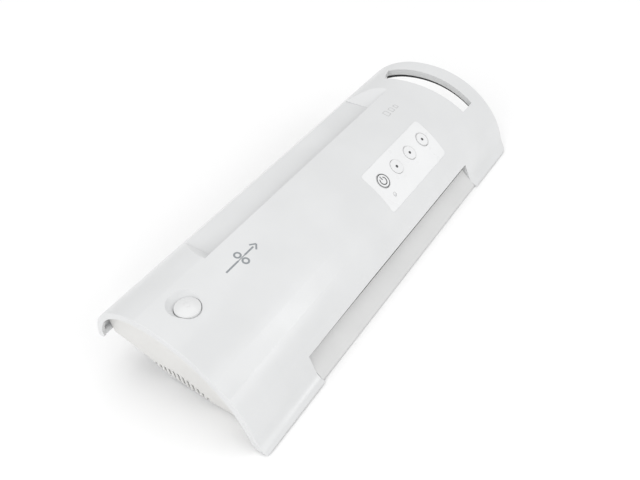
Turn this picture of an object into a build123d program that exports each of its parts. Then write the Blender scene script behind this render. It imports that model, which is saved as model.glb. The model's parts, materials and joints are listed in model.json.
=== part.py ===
from build123d import *
import os
from math import acos, asin, atan2, cos, degrees, hypot, pi, radians, sin, sqrt, tan

os.makedirs("parts", exist_ok=True)

# ---------------------------------------------------------------------------
# Desktop pouch laminator for A4 pouches, in millimetres.
#
# The part's own frame has +Z up, +X along the machine and -Y towards the side
# where the finished pouch comes out. Its origin is the middle of the footprint.
# Sizes below are laid out from the datum corner instead: x runs from the left
# rim, y from the front toe and z from the table. PLAN, SECTION and FRONT are the
# three planes through that corner.
# ---------------------------------------------------------------------------

LENGTH = 387.0
DEPTH = 134.6
HEIGHT = 69.4
CORNER = (-LENGTH / 2, -DEPTH / 2, 0)

PLAN = Plane(origin=CORNER, x_dir=(1, 0, 0), z_dir=(0, 0, 1))
SECTION = Plane(origin=CORNER, x_dir=(0, 1, 0), z_dir=(1, 0, 0))
FRONT = Plane(origin=CORNER, x_dir=(1, 0, 0), z_dir=(0, -1, 0))

# casing
WALL = 2.6
SHELL_BOTTOM = 1.5
CROWN_R = 92.3
CROWN_Y = 95.0
REAR_ARC_R = 46.0
REAR_ARC_TURN = 30.0
FLANGE_BOTTOM = 33.5
RIDGE_LENGTH = 150.0
HEEL_Y = 92.0
HEEL_RISE_Y = 106.0
HEEL_Z = 16.0
REAR_WALL_Y = 125.6
PANEL_THICK = 2.5
SLIP = 0.3
RIM_THICK = 4.6
RIM_WIDTH = 2.4
RIM_EDGE_R = 0.8
TOE_FLAT = 0.5

# pouch path
ENTRY_LIP_Y = 92.7
ENTRY_FLOOR_Z = 62.3
ENTRY_FLOOR_BACK_Z = 61.2
ENTRY_X = (76.5, 291.0)
ENTRY_TOP_X = (66.0, 316.0)
EXIT_X = (66.0, 314.0)
EXIT_LIP_Z = 19.5
RAMP_FOOT = (2.0, SHELL_BOTTOM)
RAMP_HEAD = (15.0, 14.0)
EXIT_MOUTH = (14.2, 17.0)

# handle
HANDLE_DEPTH = 5.4
HANDLE_WALL = 2.4
GRIP_DROP = (3.7, 8.7)
SLOT_FRONT_Y = 34.4
SLOT_REAR_Y = 110.2
HAND_GAP_Y = (32.0, 118.0)

# controls
OVERLAY_SIZE = (92.0, 38.0)
OVERLAY_X = 251.0
OVERLAY_Y = 39.2
OVERLAY_THICK = 0.5
OVERLAY_GAP = 0.06
KEY_X = (218.6, 240.6, 262.6, 284.6)
KEY_Y = 42.6
KEY_R = 6.2
LENS_Y = 31.2
KEY_GAP = 0.3
KEY_TRAVEL = 0.6
BUTTON_X = 28.0
BUTTON_Y = 76.0
BUTTON_R = 8.7
BUTTON_TRAVEL = 3.5
BUTTON_FLOOR_Z = 52.0
BUTTON_TOP_Z = 69.0

# rollers and gears
HOT_NIP = (61.0, 32.5)
HOT_NIP_TILT = 34.0
PULL_NIP = (40.0, 23.5)
PULL_NIP_TILT = 19.0
NIP_GAP = 0.3
GEAR_MODULE = 1.0
HOT_TEETH = 16
PULL_TEETH = 12
IDLER_TEETH = 14
CLUTCH_TEETH = 24
PINION_TEETH = 12
MOTOR_YZ = (97.0, 34.0)
GEAR_X = (43.0, 48.0)
PLATE_X = (50.0, 309.5)
PLATE_THICK = 1.5
ROLLER_X = (62.0, 299.0)
SHAFT_R = {"hot": 4.0, "pull": 3.0}
RUNNING_GAP = 0.05

# release lever
LEVER_PIVOT = (13.0, 48.0)
FORK_X = 37.5
FORK_Z = (31.4, 34.9)


# ---------------------------------------------------------------------------
# Shared shapes
# ---------------------------------------------------------------------------


def crown_point(y, proud=0.0):
    """Point of the crown's arc above distance y from the toe, pushed out by proud."""
    lean = asin((CROWN_Y - y) / CROWN_R)
    radius = CROWN_R + proud
    return (CROWN_Y - radius * sin(lean), HEIGHT - CROWN_R + radius * cos(lean))


def crown_lean(y):
    """Angle in degrees between the crown's outward normal and straight up."""
    return degrees(asin((CROWN_Y - y) / CROWN_R))


def crown_plane(x, y):
    """Plane touching the crown, with its normal outward and its x along the machine."""
    lean = radians(crown_lean(y))
    height = crown_point(y)
    origin = (x + CORNER[0], height[0] + CORNER[1], height[1])
    return Plane(origin=origin, x_dir=(1, 0, 0), z_dir=(0, -sin(lean), cos(lean)))


def casing_section(ridge, bottom, drop=0.0):
    """Filled cross-section of the casing.

    ridge runs from 0, the plain arch, to 1, the arch with its raised front
    crease. bottom is the height where the section is cut off, and drop lowers
    the whole arch.
    """
    turn = radians(REAR_ARC_TURN)
    shoulder = (CROWN_Y + REAR_ARC_R * sin(turn), HEIGHT - REAR_ARC_R * (1 - cos(turn)))
    heel_r = (DEPTH - shoulder[0]) / (1 - sin(turn))
    half = (turn + pi / 2) / 2
    heel_mid = (
        shoulder[0] + heel_r * (sin(half) - sin(turn)),
        shoulder[1] - heel_r * (cos(turn) - cos(half)),
    )
    heel_end = (DEPTH, shoulder[1] - heel_r * cos(turn))
    rear_mid = (
        CROWN_Y + REAR_ARC_R * sin(turn / 2),
        HEIGHT - REAR_ARC_R * (1 - cos(turn / 2)),
    )
    face = crown_point(8.3, 0.3 * ridge)
    cheek = crown_point(15.0 + 1.3 * ridge, 1.5 * ridge)
    crease = crown_point(20.0 + 6.4 * ridge, 1.45 * ridge)
    blend = crown_point(31.0 + 5.0 * ridge)
    toe = (0, SHELL_BOTTOM)
    with BuildSketch(Plane.XY, mode=Mode.PRIVATE) as section:
        with BuildLine():
            TangentArc(face, toe, tangent=(-cos(radians(69)), -sin(radians(69))))
            ThreePointArc(face, crown_point(11.5, 0.7 * ridge), cheek)
            ThreePointArc(cheek, crown_point(17.5 + 3.8 * ridge, 1.65 * ridge), crease)
            ThreePointArc(crease, crown_point(25.5 + 5.7 * ridge, 0.15 * ridge), blend)
            ThreePointArc(blend, crown_point(60.0), (CROWN_Y, HEIGHT))
            ThreePointArc((CROWN_Y, HEIGHT), rear_mid, shoulder)
            ThreePointArc(shoulder, heel_mid, heel_end)
            if bottom == SHELL_BOTTOM:
                Polyline(heel_end, (DEPTH, bottom), toe)
            else:
                Polyline(heel_end, (DEPTH, bottom), (0, bottom), toe)
        make_face()
    return Pos(0, -drop) * section.sketch


def plan_outline():
    """Filled outline of the casing from above, with its bowed right end."""
    bow_start = (LENGTH, 15.0)
    bow_end = (368.2, 103.0)
    rear_corner = (357.0, DEPTH)
    with BuildSketch(Plane.XY, mode=Mode.PRIVATE) as outline:
        with BuildLine():
            Polyline((0, DEPTH), (0, 0), (LENGTH, 0), bow_start)
            ThreePointArc(bow_start, (380.8, 58.0), bow_end)
            Polyline(bow_end, rear_corner, (0, DEPTH))
        make_face()
        corners = outline.vertices().sort_by_distance(Vector(LENGTH, 0))
        fillet(corners[0], radius=14)
        corners = outline.vertices().sort_by_distance(Vector(*rear_corner))
        fillet(corners[0], radius=20)
    return outline.sketch


def slot_outline(grow=0.0):
    """Filled outline of the hand slot from above; grow widens its outer and rear sides only."""
    front = (367.6 + grow, SLOT_FRONT_Y)
    rear = (348.8 + grow / 2, SLOT_REAR_Y + grow)
    with BuildSketch(Plane.XY, mode=Mode.PRIVATE) as slot:
        with BuildLine():
            Polyline(front, (349.9, SLOT_FRONT_Y), (333.2, 102.0), (332.9, 105.4 + grow), rear)
            ThreePointArc(rear, (359.9 + grow, 79.0), front)
        make_face()
    return slot.sketch


def block(x, y, z, mode=Mode.ADD):
    """Straight block between low and high x, y and z, measured from the datum corner."""
    with Locations(PLAN * Pos((x[0] + x[1]) / 2, (y[0] + y[1]) / 2, (z[0] + z[1]) / 2)):
        Box(x[1] - x[0], y[1] - y[0], z[1] - z[0], mode=mode)


def rod(y, z, x, radius, mode=Mode.ADD):
    """Round bar along the machine at (y, z), from x[0] to x[1]."""
    with BuildSketch(SECTION.offset(x[0])) as face:
        with Locations((y, z)):
            Circle(radius)
    extrude(face.sketch, amount=x[1] - x[0], mode=mode)


def post(x, y, z, radius, mode=Mode.ADD):
    """Upright round bar at (x, y), from z[0] to z[1]."""
    with BuildSketch(PLAN.offset(z[0])) as face:
        with Locations((x, y)):
            Circle(radius)
    extrude(face.sketch, amount=z[1] - z[0], mode=mode)


def spindle(x, z, y, radius, mode=Mode.ADD):
    """Round bar from front to back at (x, z), from y[0] to y[1]."""
    with BuildSketch(FRONT.offset(-y[1])) as face:
        with Locations((x, z)):
            Circle(radius)
    extrude(face.sketch, amount=y[1] - y[0], mode=mode)


def strip(points, x, mode=Mode.ADD):
    """Prism along the machine whose cross-section is the polygon through (y, z) points."""
    with BuildSketch(SECTION.offset(x[0])) as face:
        with BuildLine():
            Polyline(*points, close=True)
        make_face()
    extrude(face.sketch, amount=x[1] - x[0], mode=mode)


def slab(points, y, mode=Mode.ADD):
    """Prism from front to back whose outline is the polygon through (x, z) points."""
    with BuildSketch(FRONT.offset(-y[1])) as face:
        with BuildLine():
            Polyline(*points, close=True)
        make_face()
    extrude(face.sketch, amount=y[1] - y[0], mode=mode)


def plate(points, z, mode=Mode.ADD):
    """Upright prism whose outline from above is the polygon through (x, y) points."""
    with BuildSketch(PLAN.offset(z[0])) as face:
        with BuildLine():
            Polyline(*points, close=True)
        make_face()
    extrude(face.sketch, amount=z[1] - z[0], mode=mode)


def spring(x, y, z, radius, wire, turns):
    """Compression spring standing at (x, y) between z[0] and z[1]."""
    foot = (x + CORNER[0], y + CORNER[1], z[0] + wire)
    rise = z[1] - z[0] - 2 * wire
    with BuildLine() as path:
        coil = Helix(pitch=rise / turns, height=rise, radius=radius, center=foot)
    with BuildSketch(Plane(origin=coil @ 0, z_dir=coil % 0)) as face:
        Circle(wire)
    sweep(face.sketch, path=path.line)


def finish(piece, name):
    """Label a finished piece and write its STEP file."""
    piece.part.label = name
    export_step(piece.part, f"parts/{name}.step")


def casing_block(x, ridge, bottom, drop=0.0):
    """Solid casing arch between two distances along the machine."""
    face = casing_section(ridge, bottom, drop)
    with BuildPart(mode=Mode.PRIVATE) as arch:
        with BuildSketch(SECTION.offset(x[0])):
            add(face)
        extrude(amount=x[1] - x[0])
    return arch.part


# ---------------------------------------------------------------------------
# Pouch path, rollers and gear centres, all as (y, z)
# ---------------------------------------------------------------------------

ENTRY_MOUTH = (90.3, 64.6)


def run_point(start, end, along, off):
    """Point a distance along the run from start to end, and off above it."""
    span = hypot(end[0] - start[0], end[1] - start[1])
    step = ((end[0] - start[0]) / span, (end[1] - start[1]) / span)
    return (
        start[0] + step[0] * along + step[1] * off,
        start[1] + step[1] * along - step[0] * off,
    )


def run_plate(start, end, along, off):
    """Corners of a flat plate beside the run from start to end."""
    return [
        run_point(start, end, along[0], off[0]),
        run_point(start, end, along[1], off[0]),
        run_point(start, end, along[1], off[1]),
        run_point(start, end, along[0], off[1]),
    ]


def beside(point, tilt, distance):
    """Point at a distance from a nip along its line of centres."""
    return (point[0] - distance * sin(radians(tilt)), point[1] + distance * cos(radians(tilt)))


def between(first, second, first_reach, second_reach):
    """Lower of the two points at the given reaches from two centres."""
    span = hypot(second[0] - first[0], second[1] - first[1])
    along = (first_reach**2 - second_reach**2 + span**2) / (2 * span)
    side = sqrt(first_reach**2 - along**2)
    step = ((second[0] - first[0]) / span, (second[1] - first[1]) / span)
    choices = [
        (
            first[0] + step[0] * along - sign * step[1] * side,
            first[1] + step[1] * along + sign * step[0] * side,
        )
        for sign in (1, -1)
    ]
    return min(choices, key=lambda centre: centre[1])


PITCH_R = {
    "hot": GEAR_MODULE * HOT_TEETH / 2,
    "pull": GEAR_MODULE * PULL_TEETH / 2,
    "idler": GEAR_MODULE * IDLER_TEETH / 2,
    "clutch": GEAR_MODULE * CLUTCH_TEETH / 2,
    "pinion": GEAR_MODULE * PINION_TEETH / 2,
}
HOT_UPPER = beside(HOT_NIP, HOT_NIP_TILT, PITCH_R["hot"])
HOT_LOWER = beside(HOT_NIP, HOT_NIP_TILT, -PITCH_R["hot"])
PULL_UPPER = beside(PULL_NIP, PULL_NIP_TILT, PITCH_R["pull"])
PULL_LOWER = beside(PULL_NIP, PULL_NIP_TILT, -PITCH_R["pull"])
IDLER = between(
    HOT_LOWER, PULL_LOWER, PITCH_R["hot"] + PITCH_R["idler"], PITCH_R["pull"] + PITCH_R["idler"]
)
CLUTCH = between(
    HOT_LOWER, MOTOR_YZ, PITCH_R["hot"] + PITCH_R["clutch"], PITCH_R["pinion"] + PITCH_R["clutch"]
)


def gear_phase(own_centre, own_teeth, mate_centre, mate_teeth, mate_phase):
    """Angle of one tooth that meshes with a mating gear whose tooth angle is known."""
    toward = atan2(own_centre[1] - mate_centre[1], own_centre[0] - mate_centre[0])
    mate_share = (toward - mate_phase) / (2 * pi / mate_teeth)
    return toward + pi - (0.5 - mate_share) * 2 * pi / own_teeth


PHASE = {"hot_lower": 0.0}
PHASE["hot_upper"] = gear_phase(HOT_UPPER, HOT_TEETH, HOT_LOWER, HOT_TEETH, 0.0)
PHASE["idler"] = gear_phase(IDLER, IDLER_TEETH, HOT_LOWER, HOT_TEETH, 0.0)
PHASE["pull_lower"] = gear_phase(PULL_LOWER, PULL_TEETH, IDLER, IDLER_TEETH, PHASE["idler"])
PHASE["pull_upper"] = gear_phase(
    PULL_UPPER, PULL_TEETH, PULL_LOWER, PULL_TEETH, PHASE["pull_lower"]
)
PHASE["clutch"] = gear_phase(CLUTCH, CLUTCH_TEETH, HOT_LOWER, HOT_TEETH, 0.0)
PHASE["pinion"] = gear_phase(MOTOR_YZ, PINION_TEETH, CLUTCH, CLUTCH_TEETH, PHASE["clutch"])


def gear_points(centre, teeth, phase):
    """Outline of a spur gear with short involute teeth and a little backlash."""
    backlash = 0.14
    pitch_r = GEAR_MODULE * teeth / 2
    base_r = pitch_r * cos(radians(20))
    tip_r = pitch_r + 0.8 * GEAR_MODULE
    root_r = pitch_r - 1.05 * GEAR_MODULE
    half_pitch = (pi * GEAR_MODULE / 2 - backlash) / (2 * pitch_r)
    roll = tan(radians(20)) - radians(20)

    def half_angle(radius):
        pressure = acos(min(1.0, base_r / radius))
        return half_pitch + roll - (tan(pressure) - pressure)

    flank_r = max(base_r, root_r)
    radii = [root_r, flank_r, flank_r + (tip_r - flank_r) * 0.4, tip_r]
    if flank_r == root_r:
        radii = radii[1:]
    points = []
    for tooth in range(teeth):
        middle = phase + tooth * 2 * pi / teeth
        flank = [(radius, half_angle(radius)) for radius in radii]
        for radius, half in flank:
            points.append((radius, middle - half))
        for radius, half in reversed(flank):
            points.append((radius, middle + half))
    return [(centre[0] + radius * cos(a), centre[1] + radius * sin(a)) for radius, a in points]


# ---------------------------------------------------------------------------
# Construction solids: the closed arch, the room inside it and the handle's band
# ---------------------------------------------------------------------------

ridged_face = casing_section(1.0, SHELL_BOTTOM)
plain_face = casing_section(0.0, SHELL_BOTTOM)
deep_face = casing_section(0.0, -20.0)
outline_face = plan_outline()

with BuildPart() as outer_arch:
    with BuildSketch(SECTION):
        add(ridged_face)
    with BuildSketch(SECTION.offset(RIDGE_LENGTH)):
        add(plain_face)
    loft(ruled=True)
    add(casing_block((RIDGE_LENGTH, LENGTH + 1), 0.0, SHELL_BOTTOM))
    with BuildSketch(PLAN.offset(-1)):
        add(outline_face)
    extrude(amount=HEIGHT + 2, mode=Mode.INTERSECT)
    rim_edges = outer_arch.faces().sort_by(Axis.X)[0].edges().filter_by(GeomType.CIRCLE)
    fillet(rim_edges, radius=RIM_EDGE_R)
    # flat on the toe where the rounded rim runs out
    block((-1, RIM_EDGE_R + 0.4), (-1, TOE_FLAT), (0, SHELL_BOTTOM + 1.5), mode=Mode.SUBTRACT)

with BuildPart() as inner_space:
    with BuildSketch(SECTION.offset(-5)):
        add(deep_face)
        offset(amount=-WALL, kind=Kind.INTERSECTION)
    extrude(amount=LENGTH + 10)
    with BuildSketch(PLAN.offset(-30)):
        add(outline_face)
        offset(amount=-WALL, kind=Kind.INTERSECTION)
        with Locations((5, DEPTH / 2)):
            Rectangle(30, DEPTH - 2 * WALL)
    extrude(amount=HEIGHT + 40, mode=Mode.INTERSECT)

with BuildPart() as handle_band:
    add(outer_arch.part)
    add(casing_block((300, LENGTH + 5), 0.0, -30.0, HANDLE_DEPTH), mode=Mode.SUBTRACT)

SCREW_BOSSES = [
    (24.0, 22.0, SHELL_BOTTOM),
    (330.0, 20.0, SHELL_BOTTOM),
    (24.0, 112.0, HEEL_Z),
    (120.0, 121.6, HEEL_Z),
    (262.0, 121.6, HEEL_Z),
    (321.0, 112.0, HEEL_Z),
]
BOSS_R = 3.6
BOSS_BASE_RISE = 6.5

# ---------------------------------------------------------------------------
# Casing
# ---------------------------------------------------------------------------

with BuildPart() as entry_cutter:
    with BuildSketch(FRONT.offset(-ENTRY_LIP_Y)):
        with BuildLine():
            Polyline(
                (ENTRY_X[0], ENTRY_FLOOR_BACK_Z - 4),
                (ENTRY_X[1], ENTRY_FLOOR_BACK_Z - 4),
                (ENTRY_X[1], ENTRY_FLOOR_Z),
                (ENTRY_TOP_X[1], HEIGHT),
                (ENTRY_TOP_X[1], HEIGHT + 5),
                (ENTRY_TOP_X[0], HEIGHT + 5),
                (ENTRY_TOP_X[0], HEIGHT),
                (ENTRY_X[0], ENTRY_FLOOR_Z),
                close=True,
            )
        make_face()
    extrude(amount=-60)
    strip(
        [
            (ENTRY_LIP_Y, ENTRY_FLOOR_Z),
            (DEPTH, ENTRY_FLOOR_BACK_Z),
            (DEPTH, HEIGHT + 5),
            (ENTRY_LIP_Y, HEIGHT + 5),
        ],
        (0, LENGTH),
        mode=Mode.INTERSECT,
    )

with BuildPart() as shell_ribs:
    # thick rim round the left end
    block((0, RIM_WIDTH), (-1, DEPTH + 1), (0, HEIGHT + 1))
    with BuildSketch(SECTION.offset(-1)):
        add(deep_face)
        offset(amount=-RIM_THICK, kind=Kind.INTERSECTION)
    extrude(amount=RIM_WIDTH + 2, mode=Mode.SUBTRACT)
    block((-1, RIM_WIDTH + 1), (100, DEPTH + 2), (-1, FLANGE_BOTTOM), mode=Mode.SUBTRACT)
    # pan under the entry recess
    slab(
        [
            (ENTRY_X[0] - 3, ENTRY_FLOOR_BACK_Z - 2.6),
            (ENTRY_X[1] + 2, ENTRY_FLOOR_BACK_Z - 2.6),
            (ENTRY_TOP_X[1] + 4, HEIGHT - 2.2),
            (ENTRY_TOP_X[1] + 4, HEIGHT + 1),
            (ENTRY_TOP_X[0] - 5, HEIGHT + 1),
            (ENTRY_TOP_X[0] - 5, HEIGHT - 2.6),
        ],
        (ENTRY_LIP_Y - 2.4, DEPTH - 4),
    )
    # cheeks of the exit recess
    for cheek_x in (EXIT_X[0] - 2.4, EXIT_X[1]):
        block((cheek_x, cheek_x + 2.4), (0, 22), (SHELL_BOTTOM, EXIT_LIP_Z + 4))
    # thick pad and guide tube of the release button
    post(BUTTON_X, BUTTON_Y + 1.5, (60.5, HEIGHT + 1), 15.5)
    post(BUTTON_X, BUTTON_Y, (BUTTON_FLOOR_Z, HEIGHT), 11.0)
    for boss_x, boss_y, boss_z in SCREW_BOSSES:
        post(boss_x, boss_y, (boss_z + BOSS_BASE_RISE, HEIGHT), BOSS_R)
    # rolled lower edge of the rear flange
    rod(131.8, FLANGE_BOTTOM + 2.8, (0, 344), 2.75)
    add(outer_arch.part, mode=Mode.INTERSECT)

with BuildPart() as handle_wall:
    with BuildSketch(PLAN):
        add(slot_outline(HANDLE_WALL))
    extrude(amount=HEIGHT)
    add(handle_band.part, mode=Mode.INTERSECT)

with BuildPart() as hand_gap:
    plate(
        [
            (349.9, HAND_GAP_Y[0]),
            (LENGTH + 5, HAND_GAP_Y[0]),
            (LENGTH + 5, HAND_GAP_Y[1]),
            (331.4, HAND_GAP_Y[1]),
            (333.0, 102.5),
        ],
        (-5, HEIGHT),
    )
    add(casing_block((300, LENGTH + 5), 0.0, -30.0, HANDLE_DEPTH), mode=Mode.INTERSECT)

DISH_R = 17.0
DISH_Z = 80.6
overlay_plane = crown_plane(OVERLAY_X, OVERLAY_Y)

with BuildPart() as overlay_bed:
    with BuildSketch(overlay_plane.offset(-8)):
        RectangleRounded(OVERLAY_SIZE[0], OVERLAY_SIZE[1], 3)
    extrude(amount=16)
    rod(CROWN_Y, HEIGHT - CROWN_R, (0, LENGTH), CROWN_R - OVERLAY_THICK, mode=Mode.SUBTRACT)

with BuildPart() as top_shell:
    add(outer_arch.part)
    add(inner_space.part, mode=Mode.SUBTRACT)
    block((-5, LENGTH + 5), (100, DEPTH + 5), (-5, FLANGE_BOTTOM), mode=Mode.SUBTRACT)
    add(shell_ribs.part)
    add(handle_wall.part)
    add(entry_cutter.part, mode=Mode.SUBTRACT)
    block(
        (ENTRY_X[0], ENTRY_X[1] - 2),
        (ENTRY_LIP_Y - 6, ENTRY_LIP_Y + 1),
        (ENTRY_FLOOR_Z, ENTRY_FLOOR_Z + 4.5),
        mode=Mode.SUBTRACT,
    )
    block(EXIT_X, (-5, 30), (-5, EXIT_LIP_Z), mode=Mode.SUBTRACT)
    add(overlay_bed.part, mode=Mode.SUBTRACT)
    for key_x in KEY_X:
        with BuildSketch(crown_plane(key_x, KEY_Y).offset(-6)):
            Circle(KEY_R + KEY_GAP)
        extrude(amount=8, mode=Mode.SUBTRACT)
    with BuildSketch(crown_plane(KEY_X[0], LENS_Y).offset(-6)):
        Circle(1.2)
    extrude(amount=8, mode=Mode.SUBTRACT)
    with Locations(PLAN * Pos(BUTTON_X, BUTTON_Y + 1.5, DISH_Z)):
        Sphere(DISH_R, mode=Mode.SUBTRACT)
    post(BUTTON_X, BUTTON_Y, (BUTTON_FLOOR_Z + 2, HEIGHT + 2), BUTTON_R + 0.4, mode=Mode.SUBTRACT)
    post(BUTTON_X, BUTTON_Y, (BUTTON_FLOOR_Z - 1, HEIGHT), 3.3, mode=Mode.SUBTRACT)
    for boss_x, boss_y, boss_z in SCREW_BOSSES:
        boss_low = boss_z + BOSS_BASE_RISE
        post(boss_x, boss_y, (boss_low - 1, boss_low + 9), 1.5, mode=Mode.SUBTRACT)
    add(hand_gap.part, mode=Mode.SUBTRACT)
    with BuildSketch(PLAN):
        add(slot_outline())
    extrude(amount=HEIGHT + 5, mode=Mode.SUBTRACT)
finish(top_shell, "top_shell")

BASE_FLOOR = 2.5
SIDE_WALL_LAP = 2.5
PANEL_EDGE = [
    (45.0, SHELL_BOTTOM),
    (56.0, 4.0),
    (80.0, 9.5),
    (92.0, 13.0),
    (103.0, 20.5),
    (115.0, 26.5),
    (REAR_WALL_Y, 31.0),
]
FEET = [(38.0, 20.0), (352.0, 18.0), (38.0, 83.0), (318.0, 83.0)]
BOARD_X = (112.0, 248.0)
BOARD_Y = (36.0, 88.0)
BOARD_Z = 8.0
FLANGE_SCREWS = [
    (PLATE_X[0] + 8, 32.0),
    (PLATE_X[0] + 8, 76.0),
    (PLATE_X[1] - 6.5, 32.0),
    (PLATE_X[1] - 6.5, 76.0),
]
BRACKET_SCREW = (25.0, 80.5)
GLAND_XZ = (300.0, 25.0)
floor_top = SHELL_BOTTOM + BASE_FLOOR
POST_INSET = 5
board_posts = [
    (x, y)
    for x in (BOARD_X[0] + POST_INSET, BOARD_X[1] - POST_INSET)
    for y in (BOARD_Y[0] + POST_INSET, BOARD_Y[1] - POST_INSET)
]

with BuildPart() as base_shell:
    strip(
        [
            (9.5, SHELL_BOTTOM),
            (HEEL_Y, SHELL_BOTTOM),
            (HEEL_RISE_Y, HEEL_Z),
            (REAR_WALL_Y + BASE_FLOOR, HEEL_Z),
            (REAR_WALL_Y + BASE_FLOOR, 45.0),
            (REAR_WALL_Y, 45.0),
            (REAR_WALL_Y, HEEL_Z + BASE_FLOOR),
            (HEEL_RISE_Y - 1.0, HEEL_Z + BASE_FLOOR),
            (HEEL_Y - 1.0, floor_top),
            (14.5, floor_top),
            (14.5, 8.5),
            (12.5, 8.5),
            (12.5, floor_top),
            (9.5, floor_top),
        ],
        (14.8, 382),
    )
    # low side wall standing behind the lower edge of the left panel
    strip(
        [
            (PANEL_EDGE[0][0], SHELL_BOTTOM),
            (HEEL_Y, SHELL_BOTTOM),
            (HEEL_RISE_Y, HEEL_Z),
            (REAR_WALL_Y, HEEL_Z),
        ]
        + [(y, z + SIDE_WALL_LAP) for y, z in reversed(PANEL_EDGE)],
        (14.8, 16.2),
    )
    for boss_x, boss_y, boss_z in SCREW_BOSSES:
        post(boss_x, boss_y, (boss_z, boss_z + BOSS_BASE_RISE), 5.2)
    for screw_x, screw_y in FLANGE_SCREWS + [BRACKET_SCREW]:
        post(screw_x, screw_y, (SHELL_BOTTOM, floor_top + 2), 4.0)
    for post_x, post_y in board_posts:
        post(post_x, post_y, (SHELL_BOTTOM, BOARD_Z), 3.5)
    plate(
        [
            (14.8, 0),
            (382, 0),
            (382, 28.9),
            (347.2, 28.9),
            (330.0, 102.2),
            (328.0, 130),
            (14.8, 130),
        ],
        (0, HEIGHT),
        mode=Mode.INTERSECT,
    )
    add(inner_space.part, mode=Mode.INTERSECT)
    for cheek_x in (EXIT_X[0] - 2.4, EXIT_X[1]):
        block((cheek_x - SLIP, cheek_x + 2.4 + SLIP), (0, 22 + SLIP), (0, 20), mode=Mode.SUBTRACT)
    block((EXIT_X[0], EXIT_X[1]), (0, 14.6), (0, 20), mode=Mode.SUBTRACT)
    strip(
        [
            RAMP_FOOT,
            RAMP_HEAD,
            (RAMP_HEAD[0] + 1.4, RAMP_HEAD[1] - 0.6),
            (RAMP_HEAD[0] + 1.4, RAMP_HEAD[1] - 3.4),
            (10.0, floor_top),
            (14.7, floor_top),
            (14.7, SHELL_BOTTOM),
        ],
        (EXIT_X[0] + SLIP, EXIT_X[1] - SLIP),
    )
    for boss_x, boss_y, boss_z in SCREW_BOSSES:
        post(boss_x, boss_y, (boss_z - 1, boss_z + 3.5), 3.3, mode=Mode.SUBTRACT)
        post(boss_x, boss_y, (boss_z, boss_z + 7), 1.7, mode=Mode.SUBTRACT)
    for screw_x, screw_y in FLANGE_SCREWS + [BRACKET_SCREW]:
        post(screw_x, screw_y, (floor_top - 1.5, floor_top + 3), 1.3, mode=Mode.SUBTRACT)
    for post_x, post_y in board_posts:
        post(post_x, post_y, (floor_top - 1, BOARD_Z + 1), 1.3, mode=Mode.SUBTRACT)
    spindle(GLAND_XZ[0], GLAND_XZ[1], (REAR_WALL_Y - 2, DEPTH), 6.0, mode=Mode.SUBTRACT)
finish(base_shell, "base_shell")

PANEL_TOP = (3.4, 71.0)
PANEL_FOOT = (11.8, 3.4)
VENTS = 14
VENT_PITCH = 3.7
VENT_HEIGHT = 9.5


def panel_edge_z(y):
    """Height of the left panel's lower edge at distance y from the toe."""
    for near, far in zip(PANEL_EDGE, PANEL_EDGE[1:]):
        if near[0] <= y <= far[0]:
            return near[1] + (far[1] - near[1]) * (y - near[0]) / (far[0] - near[0])
    return PANEL_EDGE[-1][1]


with BuildPart() as left_end_panel:
    slab(
        [
            PANEL_TOP,
            (PANEL_TOP[0] + PANEL_THICK, PANEL_TOP[1]),
            (14.5, 4.0),
            (14.5, SHELL_BOTTOM),
            (13.2, SHELL_BOTTOM),
            PANEL_FOOT,
        ],
        (2, 128.3),
    )
    add(inner_space.part, mode=Mode.INTERSECT)
    strip(
        [(PANEL_EDGE[0][0], 0)] + PANEL_EDGE + [(DEPTH, PANEL_EDGE[-1][1]), (DEPTH, 0)],
        (0, 20),
        mode=Mode.SUBTRACT,
    )
    for vent in range(VENTS):
        vent_y = 52.0 + VENT_PITCH * vent
        vent_top = panel_edge_z(vent_y) + VENT_HEIGHT * sin(pi * (vent + 0.5) / VENTS)
        block((0, 20), (vent_y - 0.85, vent_y + 0.85), (0, vent_top), mode=Mode.SUBTRACT)
finish(left_end_panel, "left_end_panel")

with BuildPart() as right_end_panel:
    plate(
        [
            (383, 31.7),
            (349.6, 31.7),
            (332.7, 102.5),
            (331.0, 128.3),
            (331.0 - PANEL_THICK, 128.3),
            (332.7 - PANEL_THICK, 102.2),
            (349.6 - PANEL_THICK + 0.5, 31.7 - PANEL_THICK),
            (383, 31.7 - PANEL_THICK),
        ],
        (SHELL_BOTTOM, HEIGHT),
    )
    add(inner_space.part, mode=Mode.INTERSECT)
    strip(
        [(HEEL_Y, 0), (HEEL_Y, SHELL_BOTTOM), (HEEL_RISE_Y, HEEL_Z), (DEPTH, HEEL_Z), (DEPTH, 0)],
        (300, LENGTH),
        mode=Mode.SUBTRACT,
    )
finish(right_end_panel, "right_end_panel")

with BuildPart() as handle_grip:
    with BuildSketch(PLAN):
        add(outline_face)
        offset(amount=-(WALL + 0.2), kind=Kind.INTERSECTION)
        with Locations((360, 76.1)):
            Rectangle(52.8, 82.6, mode=Mode.INTERSECT)
        add(slot_outline(HANDLE_WALL + 0.2), mode=Mode.SUBTRACT)
        with BuildLine():
            Polyline(
                (330, 30),
                (351, 30),
                (350.2, 34.5),
                (333.5, 102),
                (333.5, 112),
                (330, 112),
                close=True,
            )
        make_face(mode=Mode.SUBTRACT)
    extrude(amount=HEIGHT)
    add(casing_block((300, LENGTH + 5), 0.0, -30.0, GRIP_DROP[0]), mode=Mode.INTERSECT)
    add(casing_block((300, LENGTH + 5), 0.0, -30.0, GRIP_DROP[1]), mode=Mode.SUBTRACT)
finish(handle_grip, "handle_grip")

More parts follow.
